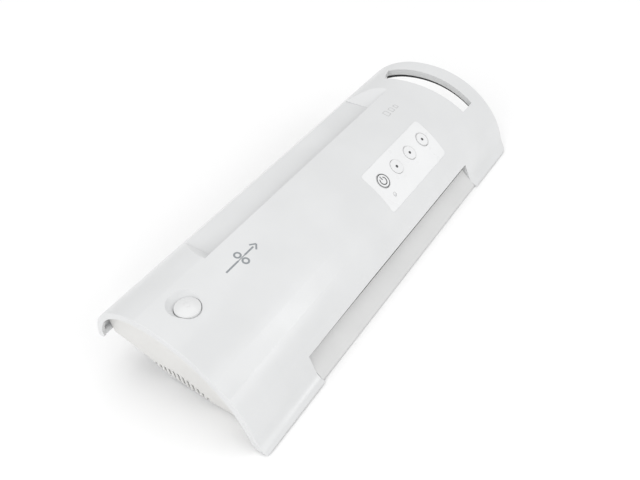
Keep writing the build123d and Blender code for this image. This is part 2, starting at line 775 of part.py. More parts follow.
with BuildPart() as control_overlay:
    with BuildSketch(overlay_plane.offset(-8)):
        RectangleRounded(OVERLAY_SIZE[0] - 2 * OVERLAY_GAP, OVERLAY_SIZE[1] - 2 * OVERLAY_GAP, 3)
    extrude(amount=16)
    rod(CROWN_Y, HEIGHT - CROWN_R, (0, LENGTH), CROWN_R, mode=Mode.INTERSECT)
    rod(CROWN_Y, HEIGHT - CROWN_R, (0, LENGTH), CROWN_R - OVERLAY_THICK, mode=Mode.SUBTRACT)
    for key_x in KEY_X:
        with BuildSketch(crown_plane(key_x, KEY_Y).offset(-6)):
            Circle(KEY_R + KEY_GAP)
        extrude(amount=8, mode=Mode.SUBTRACT)
    with BuildSketch(crown_plane(KEY_X[0], LENS_Y).offset(-6)):
        Circle(1.2)
    extrude(amount=8, mode=Mode.SUBTRACT)
finish(control_overlay, "control_overlay")

with BuildPart() as indicator_lens:
    with BuildSketch(crown_plane(KEY_X[0], LENS_Y).offset(-4.5)):
        Circle(1.1)
    extrude(amount=4.5)
finish(indicator_lens, "indicator_lens")

with BuildPart() as rubber_feet:
    for foot_x, foot_y in FEET:
        post(foot_x, foot_y, (0.0, SHELL_BOTTOM), 6.0)
finish(rubber_feet, "rubber_feet")

with BuildPart() as casing_screws:
    for boss_x, boss_y, boss_z in SCREW_BOSSES:
        post(boss_x, boss_y, (boss_z + 1.3, boss_z + 3.5), 2.9)
        post(boss_x, boss_y, (boss_z + 3.5, boss_z + 14), 1.5)
        block(
            (boss_x - 2, boss_x + 2),
            (boss_y - 0.4, boss_y + 0.4),
            (boss_z + 1.3, boss_z + 2.1),
            mode=Mode.SUBTRACT,
        )
finish(casing_screws, "casing_screws")

with BuildPart() as cord_gland:
    spindle(GLAND_XZ[0], GLAND_XZ[1], (REAR_WALL_Y - 4, REAR_WALL_Y + BASE_FLOOR), 6.0)
    spindle(GLAND_XZ[0], GLAND_XZ[1], (REAR_WALL_Y + BASE_FLOOR, REAR_WALL_Y + 4.5), 7.5)
    spindle(GLAND_XZ[0], GLAND_XZ[1], (REAR_WALL_Y + 4.5, REAR_WALL_Y + 8.4), 5.2)
    spindle(GLAND_XZ[0], GLAND_XZ[1], (REAR_WALL_Y - 6, DEPTH + 2), 3.2, mode=Mode.SUBTRACT)
finish(cord_gland, "cord_gland")

# ---------------------------------------------------------------------------
# Keys and release button
# ---------------------------------------------------------------------------

KEY_NAMES = ["power_key", "left_mode_key", "middle_mode_key", "right_mode_key"]
for key_name, key_x in zip(KEY_NAMES, KEY_X):
    key_plane = crown_plane(key_x, KEY_Y)
    with BuildPart() as key:
        with BuildSketch(key_plane.offset(-3.2)):
            Circle(KEY_R)
        extrude(amount=3.4)
        with BuildSketch(key_plane.offset(-4.2)):
            Circle(KEY_R + 1.4)
        extrude(amount=1.1)
        with BuildSketch(key_plane.offset(-4.8)):
            Circle(1.7)
        extrude(amount=0.7)
    finish(key, key_name)

with BuildPart() as tact_switches:
    for key_x in KEY_X:
        with BuildSketch(crown_plane(key_x, KEY_Y).offset(-8.2)):
            Rectangle(6, 6)
        extrude(amount=2.2)
        with BuildSketch(crown_plane(key_x, KEY_Y).offset(-6.1)):
            Circle(1.7)
        extrude(amount=0.4)
finish(tact_switches, "tact_switches")

with BuildPart() as control_board:
    with BuildSketch(crown_plane(OVERLAY_X, KEY_Y).offset(-9.6)):
        RectangleRounded(92, 15, 1.5)
    extrude(amount=1.4)
finish(control_board, "control_board")

DOME_R = 19.9
BUTTON_RIM_R = 0.9

with BuildPart() as release_button:
    post(BUTTON_X, BUTTON_Y, (58.4, BUTTON_TOP_Z), BUTTON_R)
    with Locations(PLAN * Pos(BUTTON_X, BUTTON_Y, BUTTON_TOP_Z - DOME_R)):
        Sphere(DOME_R, mode=Mode.INTERSECT)
    rims = [edge for edge in release_button.edges().filter_by(GeomType.CIRCLE) if edge.is_closed]
    fillet(ShapeList(rims).sort_by(Axis.Z)[-1], radius=BUTTON_RIM_R)
    post(BUTTON_X, BUTTON_Y, (58.4, 64.0), BUTTON_R - 1.5, mode=Mode.SUBTRACT)
    post(BUTTON_X, BUTTON_Y, (50.3, 64.0), 3.0)
    post(BUTTON_X, BUTTON_Y, (50.3, 51.6), 3.9)
finish(release_button, "release_button")

with BuildPart() as release_spring:
    spring(BUTTON_X, BUTTON_Y, (BUTTON_FLOOR_Z + 2, 64.0), 4.6, 0.45, 5)
finish(release_spring, "release_spring")

LEVER_Y = (73.0, 88.0)
PAD_Z = LEVER_PIVOT[1]
PIN_R = 1.5

with BuildPart() as release_lever:
    spindle(*LEVER_PIVOT, LEVER_Y, 3.2)
    spindle(BUTTON_X, PAD_Z, (73.5, 78.5), 2.0)
    block((LEVER_PIVOT[0], BUTTON_X + 0.5), (73.5, 78.5), (PAD_Z - 1.6, PAD_Z + 0.4))
    slab(
        [
            (LEVER_PIVOT[0] - 1, LEVER_PIVOT[1] - 3.0),
            (LEVER_PIVOT[0] + 2, LEVER_PIVOT[1]),
            (FORK_X + 0.75, FORK_Z[1]),
            (FORK_X + 0.75, FORK_Z[0]),
            (FORK_X - 1.5, FORK_Z[0]),
        ],
        (81.0, 88.0),
    )
    fork_y = CLUTCH[0]
    block((FORK_X - 0.75, FORK_X + 0.75), (fork_y - 6.6, fork_y + 6.6), FORK_Z)
    for prong in (-1, 1):
        near, far = sorted((fork_y + prong * 4.4, fork_y + prong * 6.6))
        block((FORK_X - 0.75, FORK_X + 0.75), (near, far), (16.0, FORK_Z[0]))
    bore_y = (LEVER_Y[0] - 1, LEVER_Y[1] + 1)
    spindle(*LEVER_PIVOT, bore_y, PIN_R + RUNNING_GAP, mode=Mode.SUBTRACT)
finish(release_lever, "release_lever")

with BuildPart() as lever_bracket:
    for ear_y in ((70.4, 72.4), (88.6, 90.6)):
        slab(
            [
                (9.9, LEVER_PIVOT[1] + 4),
                (16.5, LEVER_PIVOT[1] + 4),
                (22, floor_top + 3.6),
                (30, floor_top + 3.6),
                (30, floor_top + 2),
                (16.6, floor_top + 2),
                (16.6, 18),
            ],
            ear_y,
        )
    block((16.6, 30), (70.4, 90.6), (floor_top + 2, floor_top + 3.6))
    spindle(*LEVER_PIVOT, (69, 92), PIN_R, mode=Mode.SUBTRACT)
    post(BRACKET_SCREW[0], BRACKET_SCREW[1], (floor_top, floor_top + 6), 1.5, mode=Mode.SUBTRACT)
finish(lever_bracket, "lever_bracket")

with BuildPart() as lever_pin:
    spindle(*LEVER_PIVOT, (69.4, 91.6), PIN_R)
    spindle(*LEVER_PIVOT, (68.4, 69.4), 2.4)
finish(lever_pin, "lever_pin")

# ---------------------------------------------------------------------------
# Rollers and drive
# ---------------------------------------------------------------------------

ROLLERS = {
    "hot_upper": ("hot", HOT_UPPER, HOT_TEETH),
    "hot_lower": ("hot", HOT_LOWER, HOT_TEETH),
    "pull_upper": ("pull", PULL_UPPER, PULL_TEETH),
    "pull_lower": ("pull", PULL_LOWER, PULL_TEETH),
}
SHAFT_X = (42.4, 313.0)
BUSH_WALL = 2.5

for roller_name, (kind, centre, teeth) in ROLLERS.items():
    with BuildPart() as roller_shaft:
        rod(*centre, SHAFT_X, SHAFT_R[kind])
    finish(roller_shaft, f"{roller_name}_shaft")
    with BuildPart() as roller_sleeve:
        rod(*centre, ROLLER_X, PITCH_R[kind] - NIP_GAP / 2)
        rod(*centre, ROLLER_X, SHAFT_R[kind], mode=Mode.SUBTRACT)
    finish(roller_sleeve, f"{roller_name}_roller")
    with BuildPart() as roller_gear:
        strip(gear_points(centre, teeth, PHASE[roller_name]), GEAR_X)
        rod(*centre, GEAR_X, SHAFT_R[kind], mode=Mode.SUBTRACT)
    finish(roller_gear, f"{roller_name}_gear")

with BuildPart() as transfer_gear:
    strip(gear_points(IDLER, IDLER_TEETH, PHASE["idler"]), GEAR_X)
    rod(*IDLER, (GEAR_X[1], GEAR_X[1] + 1), 4.0)
    rod(*IDLER, (GEAR_X[0] - 1, GEAR_X[1] + 2), 2.0 + RUNNING_GAP, mode=Mode.SUBTRACT)
finish(transfer_gear, "transfer_gear")

COLLAR_X = (33.2, 41.6)
GROOVE_X = (34.7, 40.3)

with BuildPart() as clutch_gear:
    strip(gear_points(CLUTCH, CLUTCH_TEETH, PHASE["clutch"]), GEAR_X)
    rod(*CLUTCH, (COLLAR_X[1] + 0.3, GEAR_X[0]), 4.5)
    rod(*CLUTCH, (COLLAR_X[0], GEAR_X[1] + 1), 2.5 + RUNNING_GAP, mode=Mode.SUBTRACT)
finish(clutch_gear, "clutch_gear")

with BuildPart() as shift_collar:
    rod(*CLUTCH, COLLAR_X, 6.5)
    rod(*CLUTCH, GROOVE_X, 7.5, mode=Mode.SUBTRACT)
    rod(*CLUTCH, GROOVE_X, 4.0)
    rod(*CLUTCH, (COLLAR_X[0] - 1, COLLAR_X[1] + 1), 2.5 + RUNNING_GAP, mode=Mode.SUBTRACT)
finish(shift_collar, "shift_collar")

with BuildPart() as motor_pinion:
    strip(gear_points(MOTOR_YZ, PINION_TEETH, PHASE["pinion"]), (39.2, 48.4))
    rod(*MOTOR_YZ, (39, 49), 1.5, mode=Mode.SUBTRACT)
finish(motor_pinion, "motor_pinion")

with BuildPart() as motor_shaft:
    rod(*MOTOR_YZ, (38.8, 66.0), 1.5)
finish(motor_shaft, "motor_shaft")

with BuildPart() as drive_motor:
    rod(*MOTOR_YZ, (PLATE_X[0] + PLATE_THICK, 74), 17.0)
    rod(*MOTOR_YZ, (PLATE_X[0] - 0.8, PLATE_X[0] + PLATE_THICK), 4.0)
    rod(*MOTOR_YZ, (74, 77), 5.0)
    block((56, 70), (MOTOR_YZ[0] - 6, MOTOR_YZ[0] + 4), (15.5, 20))
    rod(*MOTOR_YZ, (PLATE_X[0] - 2, 67), 1.5 + RUNNING_GAP, mode=Mode.SUBTRACT)
finish(drive_motor, "drive_motor")

with BuildPart() as gear_studs:
    rod(*IDLER, (42.0, PLATE_X[0] + PLATE_THICK), 2.0)
    rod(*IDLER, (41.2, 42.0), 3.2)
    rod(*CLUTCH, (23.0, PLATE_X[0] + PLATE_THICK), 2.5)
    rod(*CLUTCH, (22.0, 23.0), 4.0)
finish(gear_studs, "gear_studs")

# ---------------------------------------------------------------------------
# Frame
# ---------------------------------------------------------------------------

PLATE_OUTLINE = [
    (27, floor_top + 2),
    (89, floor_top + 2),
    (102, HEEL_Z + 4.5),
    (119, HEEL_Z + 4.5),
    (119, 54),
    (88, 57),
    (64, 57),
    (42, 45.5),
    (27, 32),
]
TIE_BARS = [(31.5, 12.0), (114.5, 50.0)]
SPRING_ROOM = {"hot": 6.0, "pull": 5.0}
UPPER = {"hot": HOT_UPPER, "pull": PULL_UPPER}
LOWER = {"hot": HOT_LOWER, "pull": PULL_LOWER}
inward = {PLATE_X[0]: 1, PLATE_X[1]: -1}


def along_x(plate_x, low, high):
    """Span in x from the plate's inner face, low to high into the machine."""
    face = plate_x + PLATE_THICK if inward[plate_x] > 0 else plate_x
    return tuple(sorted((face + inward[plate_x] * low, face + inward[plate_x] * high)))


for plate_name, plate_x in zip(("left_frame_plate", "right_frame_plate"), PLATE_X):
    plate_span = (plate_x, plate_x + PLATE_THICK)
    with BuildPart() as frame_plate:
        strip(PLATE_OUTLINE, plate_span)
        block(along_x(plate_x, -PLATE_THICK, 10), (27, 89), (floor_top + 2, floor_top + 3.5))
        for kind in ("hot", "pull"):
            half = SHAFT_R[kind] + BUSH_WALL
            centre = UPPER[kind]
            window_y = (centre[0] - half, centre[0] + half)
            top = centre[1] + half + SPRING_ROOM[kind]
            block(plate_span, window_y, (centre[1] - half, top), mode=Mode.SUBTRACT)
            block(along_x(plate_x, -PLATE_THICK, 5.5), window_y, (top, top + PLATE_THICK))
            rod(*LOWER[kind], plate_span, half, mode=Mode.SUBTRACT)
        for bar in TIE_BARS:
            rod(*bar, plate_span, 1.5, mode=Mode.SUBTRACT)
        for screw_x, screw_y in FLANGE_SCREWS:
            post(screw_x, screw_y, (floor_top, floor_top + 6), 1.6, mode=Mode.SUBTRACT)
        if plate_x == PLATE_X[0]:
            rod(*MOTOR_YZ, plate_span, 4.0, mode=Mode.SUBTRACT)
            rod(*IDLER, plate_span, 2.0, mode=Mode.SUBTRACT)
            rod(*CLUTCH, plate_span, 2.5, mode=Mode.SUBTRACT)
    finish(frame_plate, plate_name)

with BuildPart() as tie_bars:
    for bar in TIE_BARS:
        rod(*bar, (PLATE_X[0] + PLATE_THICK, PLATE_X[1]), 2.5)
        rod(*bar, (PLATE_X[0] - 1.5, PLATE_X[1] + PLATE_THICK + 1.5), 1.5)
finish(tie_bars, "tie_bars")

with BuildPart() as lower_bushes:
    for plate_x in PLATE_X:
        for kind in ("hot", "pull"):
            outer_r = SHAFT_R[kind] + BUSH_WALL
            span = along_x(plate_x, -PLATE_THICK - 1.2, 0)
            rod(*LOWER[kind], span, outer_r)
            rod(*LOWER[kind], along_x(plate_x, 0, 2.5), outer_r + 0.2)
            bore_x = along_x(plate_x, -PLATE_THICK - 2, 3)
            rod(*LOWER[kind], bore_x, SHAFT_R[kind] + RUNNING_GAP, mode=Mode.SUBTRACT)
finish(lower_bushes, "lower_bushes")

with BuildPart() as upper_bushes:
    for plate_x in PLATE_X:
        for kind in ("hot", "pull"):
            half = SHAFT_R[kind] + BUSH_WALL
            centre = UPPER[kind]
            block(
                along_x(plate_x, -PLATE_THICK - 1.2, 5),
                (centre[0] - half + 0.1, centre[0] + half - 0.1),
                (centre[1] - half, centre[1] + half),
            )
            bore_x = along_x(plate_x, -PLATE_THICK - 2, 6)
            rod(*centre, bore_x, SHAFT_R[kind] + RUNNING_GAP, mode=Mode.SUBTRACT)
finish(upper_bushes, "upper_bushes")

with BuildPart() as pressure_springs:
    for plate_x in PLATE_X:
        for kind in ("hot", "pull"):
            low = UPPER[kind][1] + SHAFT_R[kind] + BUSH_WALL
            middle = sum(along_x(plate_x, 2.6, 2.6)) / 2
            spring(middle, UPPER[kind][0], (low, low + SPRING_ROOM[kind]), 1.9, 0.3, 4)
finish(pressure_springs, "pressure_springs")

with BuildPart() as frame_screws:
    for screw_x, screw_y in FLANGE_SCREWS + [BRACKET_SCREW]:
        head = floor_top + 3.5 if (screw_x, screw_y) != BRACKET_SCREW else floor_top + 3.6
        post(screw_x, screw_y, (floor_top - 1.4, head), 1.3)
        post(screw_x, screw_y, (head, head + 1.8), 2.6)
finish(frame_screws, "frame_screws")

# ---------------------------------------------------------------------------
# Heaters, guides and electrics
# ---------------------------------------------------------------------------

HEATER_X = (65.0, 296.0)
HEATER_RUN = (10.5, 32.0)
for heater_name, side in (("upper_heater_plate", 1), ("lower_heater_plate", -1)):
    low, high = sorted((side * 1.6, side * 4.6))
    with BuildPart() as heater_plate:
        strip(run_plate(ENTRY_MOUTH, HOT_NIP, HEATER_RUN, (low, high)), HEATER_X)
    finish(heater_plate, heater_name)

with BuildPart() as heater_elements:
    for side in (1, -1):
        low, high = sorted((side * 4.6, side * 5.4))
        strip(run_plate(ENTRY_MOUTH, HOT_NIP, (14, 29), (low, high)), (72, 289))
finish(heater_elements, "heater_elements")

with BuildPart() as heater_holders:
    for holder_x in ((PLATE_X[0] + PLATE_THICK, HEATER_X[0]), (HEATER_X[1], PLATE_X[1])):
        strip(run_plate(ENTRY_MOUTH, HOT_NIP, (12, 30), (-6, 6)), holder_x)
finish(heater_holders, "heater_holders")

with BuildPart() as thermostat:
    strip(run_plate(ENTRY_MOUTH, HOT_NIP, (17, 26), (5.4, 8.4)), (172, 188))
    strip(run_plate(ENTRY_MOUTH, HOT_NIP, (20, 23), (8.4, 9.6)), (174, 177))
    strip(run_plate(ENTRY_MOUTH, HOT_NIP, (20, 23), (8.4, 9.6)), (183, 186))
finish(thermostat, "thermostat")

GUIDE_X = (77.0, 288.5)
with BuildPart() as entry_guides:
    strip([(91.6, 66.0), (84.4, 58.6), (82.9, 59.7), (88.6, 66.0)], GUIDE_X)
    strip([(90.1, 62.0), (84.9, 56.4), (86.2, 55.2), (90.1, 59.4)], GUIDE_X)
finish(entry_guides, "entry_guides")

with BuildPart() as exit_guides:
    strip(run_plate(PULL_NIP, EXIT_MOUTH, (8, 19.5), (-2.8, -1.3)), (68, 293))
    strip(run_plate(PULL_NIP, EXIT_MOUTH, (8, 22.5), (1.3, 2.8)), (68, 293))
finish(exit_guides, "exit_guides")

with BuildPart() as main_board:
    block(BOARD_X, BOARD_Y, (BOARD_Z, BOARD_Z + 1.6))
    for post_x, post_y in board_posts:
        post(post_x, post_y, (BOARD_Z - 1, BOARD_Z + 3), 1.5, mode=Mode.SUBTRACT)
finish(main_board, "main_board")

board_top = BOARD_Z + 1.6
with BuildPart() as board_screws:
    for post_x, post_y in board_posts:
        post(post_x, post_y, (floor_top - 0.9, board_top), 1.3)
        post(post_x, post_y, (board_top, board_top + 1.6), 2.5)
finish(board_screws, "board_screws")

with BuildPart() as transformer:
    block((150, 176), (76, 87), (board_top, board_top + 14))
    block((155, 171), (75, 88), (board_top + 1, board_top + 12))
finish(transformer, "transformer")

with BuildPart() as board_parts:
    for part_x in (126, 138):
        post(part_x, 80, (board_top, board_top + 12), 4.5)
    block((186, 204), (76, 86), (board_top, board_top + 11))
    block((210, 236), (78, 87), (board_top, board_top + 8))
    for part_x in (130, 150, 170, 190, 210):
        block((part_x, part_x + 8), (46, 54), (board_top, board_top + 2))
finish(board_parts, "board_parts")
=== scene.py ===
import json
from math import atan2, cos, radians, sin, tau

import bmesh
import bpy
from mathutils import Matrix, Vector
from mathutils.bvhtree import BVHTree


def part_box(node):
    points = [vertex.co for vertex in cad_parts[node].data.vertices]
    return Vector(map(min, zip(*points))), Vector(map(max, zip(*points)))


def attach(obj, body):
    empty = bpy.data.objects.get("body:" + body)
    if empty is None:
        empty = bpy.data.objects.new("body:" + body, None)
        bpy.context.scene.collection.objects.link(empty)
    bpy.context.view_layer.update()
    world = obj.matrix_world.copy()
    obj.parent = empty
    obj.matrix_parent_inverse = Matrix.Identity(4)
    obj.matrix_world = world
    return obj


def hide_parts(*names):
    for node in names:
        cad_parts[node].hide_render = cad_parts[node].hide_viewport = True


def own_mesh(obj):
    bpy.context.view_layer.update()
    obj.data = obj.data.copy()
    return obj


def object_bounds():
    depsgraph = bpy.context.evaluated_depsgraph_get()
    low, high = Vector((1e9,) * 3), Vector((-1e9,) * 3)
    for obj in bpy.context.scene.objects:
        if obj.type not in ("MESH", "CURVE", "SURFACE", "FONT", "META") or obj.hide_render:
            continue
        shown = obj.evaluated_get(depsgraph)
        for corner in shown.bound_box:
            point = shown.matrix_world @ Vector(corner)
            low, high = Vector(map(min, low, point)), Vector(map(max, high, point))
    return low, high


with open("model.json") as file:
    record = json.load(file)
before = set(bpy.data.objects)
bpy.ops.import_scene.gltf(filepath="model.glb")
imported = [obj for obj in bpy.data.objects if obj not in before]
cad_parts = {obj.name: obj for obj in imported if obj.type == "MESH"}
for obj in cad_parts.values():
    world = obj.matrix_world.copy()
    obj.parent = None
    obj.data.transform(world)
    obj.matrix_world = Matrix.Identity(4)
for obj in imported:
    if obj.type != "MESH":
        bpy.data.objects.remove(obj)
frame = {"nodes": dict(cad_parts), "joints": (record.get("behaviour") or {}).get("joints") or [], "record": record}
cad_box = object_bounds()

# ---------------------------------------------------------------------------
# Desktop A4 pouch laminator. Metres throughout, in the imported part's own frame:
# +X along the machine towards the carrying slot, -Y towards the pouch exit.
# ---------------------------------------------------------------------------

MM = 0.001
KEYS = ("power_key", "left_mode_key", "middle_mode_key", "right_mode_key")

# ---------------------------------------------------------------------------
# Materials
# ---------------------------------------------------------------------------

# sizes of the patterns, in metres
TONE_DRIFT = 45 * MM
GLOSS_WAVE = 14 * MM
METAL_STAIN = 18 * MM
RUBBER_DUST = 9 * MM
BOARD_TRACKS = 9 * MM
BOARD_HAZE = 6 * MM
INK_SPECKLE = 0.4 * MM

COAT_ROUGHNESS = 0.12
TRACK_WIDTH = 0.035
NOISE_LOW, NOISE_HIGH = 0.3, 0.7


class Shader:
    """Node tree of one material, with short calls for the nodes used most."""

    def __init__(self, name):
        self.material = bpy.data.materials.new(name)
        self.material.use_nodes = True
        self.tree = self.material.node_tree
        self.tree.nodes.clear()
        self.out = self.node("ShaderNodeOutputMaterial")
        self.bsdf = self.node("ShaderNodeBsdfPrincipled")
        self.link(self.bsdf, "BSDF", self.out, "Surface")
        self.place = self.node("ShaderNodeTexCoord")

    def node(self, kind):
        return self.tree.nodes.new(kind)

    def link(self, source, output, target, entry):
        self.tree.links.new(source.outputs[output], target.inputs[entry])

    def noise(self, size, detail=3.0, stretch=(1, 1, 1)):
        """Noise whose features are about size across; stretch scales it along each axis."""
        mapping = self.node("ShaderNodeMapping")
        mapping.inputs["Scale"].default_value = stretch
        self.link(self.place, "Object", mapping, "Vector")
        texture = self.node("ShaderNodeTexNoise")
        texture.inputs["Scale"].default_value = 1 / size
        texture.inputs["Detail"].default_value = detail
        self.link(mapping, "Vector", texture, "Vector")
        return texture

    def ramp(self, texture, output, low, high, start=0.35, end=0.65):
        """Colour ramp from low to high over part of a texture's range."""
        ramp = self.node("ShaderNodeValToRGB")
        ramp.color_ramp.elements[0].position = start
        ramp.color_ramp.elements[1].position = end
        ramp.color_ramp.elements[0].color = (*low, 1)
        ramp.color_ramp.elements[1].color = (*high, 1)
        self.link(texture, output, ramp, "Fac")
        return ramp

    def spread(self, texture, output, low, high):
        """Value from low to high over the middle of a texture's range."""
        span = self.node("ShaderNodeMapRange")
        span.inputs["From Min"].default_value = NOISE_LOW
        span.inputs["From Max"].default_value = NOISE_HIGH
        span.inputs["To Min"].default_value = low
        span.inputs["To Max"].default_value = high
        self.link(texture, output, span, "Value")
        return span

    def bumps(self, layers):
        """Chain of bump nodes, each from (texture, output, depth in metres, strength)."""
        before = None
        for texture, output, depth, strength in layers:
            bump = self.node("ShaderNodeBump")
            bump.inputs["Strength"].default_value = strength
            bump.inputs["Distance"].default_value = depth
            self.link(texture, output, bump, "Height")
            if before:
                self.link(before, "Normal", bump, "Normal")
            before = bump
        self.link(before, "Normal", self.bsdf, "Normal")


def tinted(colour, share):
    """Colour made lighter or darker by a factor."""
    return tuple(max(0.0, min(1.0, channel * share)) for channel in colour)


def moulded(name, colour, rough, grain=0.35, depth=0.012, vary=0.02, coat=0.0, soft=0.0):
    """Injection-moulded plastic: slow tone drift, a fine etched grain and uneven gloss.
    Grain and depth are in millimetres."""
    s = Shader(name)
    drift = s.noise(TONE_DRIFT, 2.0)
    grain_noise = s.noise(grain * MM, 2.0)
    wave = s.noise(GLOSS_WAVE, 1.0)
    tone = s.ramp(drift, "Fac", tinted(colour, 1 - vary), tinted(colour, 1 + vary))
    s.link(tone, "Color", s.bsdf, "Base Color")
    gloss = s.spread(wave, "Fac", rough - 0.04, rough + 0.05)
    s.link(gloss, "Result", s.bsdf, "Roughness")
    s.bumps([(wave, "Fac", 0.02 * MM, 0.12), (grain_noise, "Fac", depth * MM, 0.5)])
    s.bsdf.inputs["Coat Weight"].default_value = coat
    s.bsdf.inputs["Coat Roughness"].default_value = COAT_ROUGHNESS
    if soft:
        s.bsdf.inputs["Subsurface Weight"].default_value = soft
        s.bsdf.inputs["Subsurface Radius"].default_value = (1.2 * MM, 1.1 * MM, 1.0 * MM)
        s.bsdf.inputs["Subsurface Scale"].default_value = 1.0
    return s.material


def brushed(name, colour, rough, along=(0.02, 1, 1), size=0.25):
    """Drawn, rolled or sintered metal with faint stains. Lines run along the axis that
    along scales down, and are size millimetres across."""
    s = Shader(name)
    lines = s.noise(size * MM, 2.0, along)
    stain = s.noise(METAL_STAIN, 3.0)
    tone = s.ramp(stain, "Fac", tinted(colour, 0.88), tinted(colour, 1.05))
    s.link(tone, "Color", s.bsdf, "Base Color")
    gloss = s.spread(lines, "Fac", rough - 0.08, rough + 0.12)
    s.link(gloss, "Result", s.bsdf, "Roughness")
    s.bumps([(lines, "Fac", 0.01 * MM, 0.6)])
    s.bsdf.inputs["Metallic"].default_value = 1.0
    return s.material


def rubbery(name, colour, rough, grain):
    """Rubber or ground silicone: dull, pebbled and a little dusty."""
    s = Shader(name)
    pebble = s.noise(grain * MM, 4.0)
    dust = s.noise(RUBBER_DUST, 4.0)
    tone = s.ramp(dust, "Fac", colour, tinted(colour, 1.6), 0.4, 0.75)
    s.link(tone, "Color", s.bsdf, "Base Color")
    gloss = s.spread(pebble, "Fac", rough - 0.07, rough + 0.08)
    s.link(gloss, "Result", s.bsdf, "Roughness")
    s.bumps([(pebble, "Fac", 0.04 * MM, 0.7)])
    return s.material


def circuit(name):
    """Solder mask over a grid of copper tracks."""
    s = Shader(name)
    tracks = s.node("ShaderNodeTexBrick")
    mapping = s.node("ShaderNodeMapping")
    s.link(s.place, "Object", mapping, "Vector")
    s.link(mapping, "Vector", tracks, "Vector")
    tracks.inputs["Scale"].default_value = 1 / BOARD_TRACKS
    tracks.inputs["Mortar Size"].default_value = TRACK_WIDTH
    tracks.inputs["Color1"].default_value = (0.020, 0.115, 0.050, 1)
    tracks.inputs["Color2"].default_value = (0.016, 0.095, 0.042, 1)
    tracks.inputs["Mortar"].default_value = (0.055, 0.230, 0.095, 1)
    s.link(tracks, "Color", s.bsdf, "Base Color")
    haze = s.noise(BOARD_HAZE, 3.0)
    gloss = s.spread(haze, "Fac", 0.22, 0.38)
    s.link(gloss, "Result", s.bsdf, "Roughness")
    s.bumps([(tracks, "Fac", 0.03 * MM, 0.4)])
    return s.material


def printed(name, colour):
    """Screen-printed ink, also used for painted gap shade: a thin, slightly uneven matt layer."""
    s = Shader(name)
    speckle = s.noise(INK_SPECKLE, 3.0)
    tone = s.ramp(speckle, "Fac", tinted(colour, 0.92), tinted(colour, 1.10))
    s.link(tone, "Color", s.bsdf, "Base Color")
    gloss = s.spread(speckle, "Fac", 0.42, 0.58)
    s.link(gloss, "Result", s.bsdf, "Roughness")
    s.bumps([(speckle, "Fac", 0.004 * MM, 0.4)])
    return s.material


SLOT_MATERIALS = {
    "casing": moulded("casing_plastic", (0.648, 0.654, 0.658), 0.35, coat=0.4),
    "panel": moulded("panel_plastic", (0.668, 0.664, 0.650), 0.42),
    "base": moulded("base_plastic", (0.600, 0.602, 0.600), 0.46),
    "grip": moulded("grip_plastic", (0.030, 0.030, 0.032), 0.50, depth=0.03),
    "overlay": moulded(
        "overlay_film", (0.745, 0.750, 0.754), 0.30, grain=0.2, depth=0.006, coat=0.2
    ),
    "key": moulded("key_plastic", (0.730, 0.735, 0.740), 0.28, grain=0.2, depth=0.006, coat=0.2),
    "button": moulded(
        "button_plastic", (0.690, 0.694, 0.696), 0.26, grain=0.25, depth=0.006, coat=0.3
    ),
    "lens": moulded("lens_plastic", (0.66, 0.67, 0.68), 0.18, grain=0.2, depth=0.004, soft=0.2),
    "rubber": rubbery("foot_rubber", (0.022, 0.022, 0.023), 0.78, 0.5),
    "steel": brushed("zinc_steel", (0.56, 0.57, 0.59), 0.34),
    "spring_steel": brushed("spring_wire", (0.42, 0.42, 0.44), 0.30, (1, 1, 0.1), 0.15),
    "aluminium": brushed("extruded_aluminium", (0.70, 0.71, 0.72), 0.36),
    "bronze": brushed("sintered_bronze", (0.50, 0.33, 0.14), 0.50, (1, 1, 1), 0.2),
    "silicone": rubbery("roller_silicone", (0.28, 0.060, 0.035), 0.66, 0.25),
    "acetal": moulded("gear_acetal", (0.80, 0.785, 0.740), 0.40, soft=0.15),
    "black_plastic": moulded("black_plastic", (0.022, 0.022, 0.023), 0.44, depth=0.02),
    "heat_plastic": moulded("heat_plastic", (0.150, 0.082, 0.045), 0.55, depth=0.03, vary=0.06),
    "motor_metal": brushed("motor_can", (0.46, 0.47, 0.49), 0.42, (1, 1, 0.05)),
    "board_green": circuit("solder_mask"),
    "coil_wrap": moulded("coil_wrap", (0.42, 0.26, 0.03), 0.36, grain=0.8, depth=0.05, vary=0.10),
}
INK_DARK = printed("ink_dark", (0.055, 0.056, 0.058))
# the mid, pale and faint greys are print, and they also paint the shade in the gaps round the mode keys
INK_AND_GAP_SHADE_MID = printed("ink_and_gap_shade_mid", (0.42, 0.42, 0.42))
INK_AND_GAP_SHADE_PALE = printed("ink_and_gap_shade_pale", (0.60, 0.60, 0.60))
INK_AND_GAP_SHADE_FAINT = printed("ink_and_gap_shade_faint", (0.70, 0.70, 0.70))
INK_GREY = printed("ink_grey", (0.245, 0.262, 0.275))

for part in frame["record"]["subparts"]:
    cad_node = frame["nodes"][part["node"]]
    cad_node.data.materials.clear()
    cad_node.data.materials.append(SLOT_MATERIALS[part["material_slot"]])

# ---------------------------------------------------------------------------
# Printed marks, and painted shade in the gaps round the mode keys. Each mark is drawn
# flat as strokes of (right, up) points in millimetres, then laid on the surface under it.
# ---------------------------------------------------------------------------

INK_LIFT = 0.03 * MM  # ink above the surface, and the same again sunk below it
DROP = 6 * MM  # how far from the touching plane a surface is searched
FACE_BAND = 0.02 * MM  # vertices this close to a key's top belong to its face

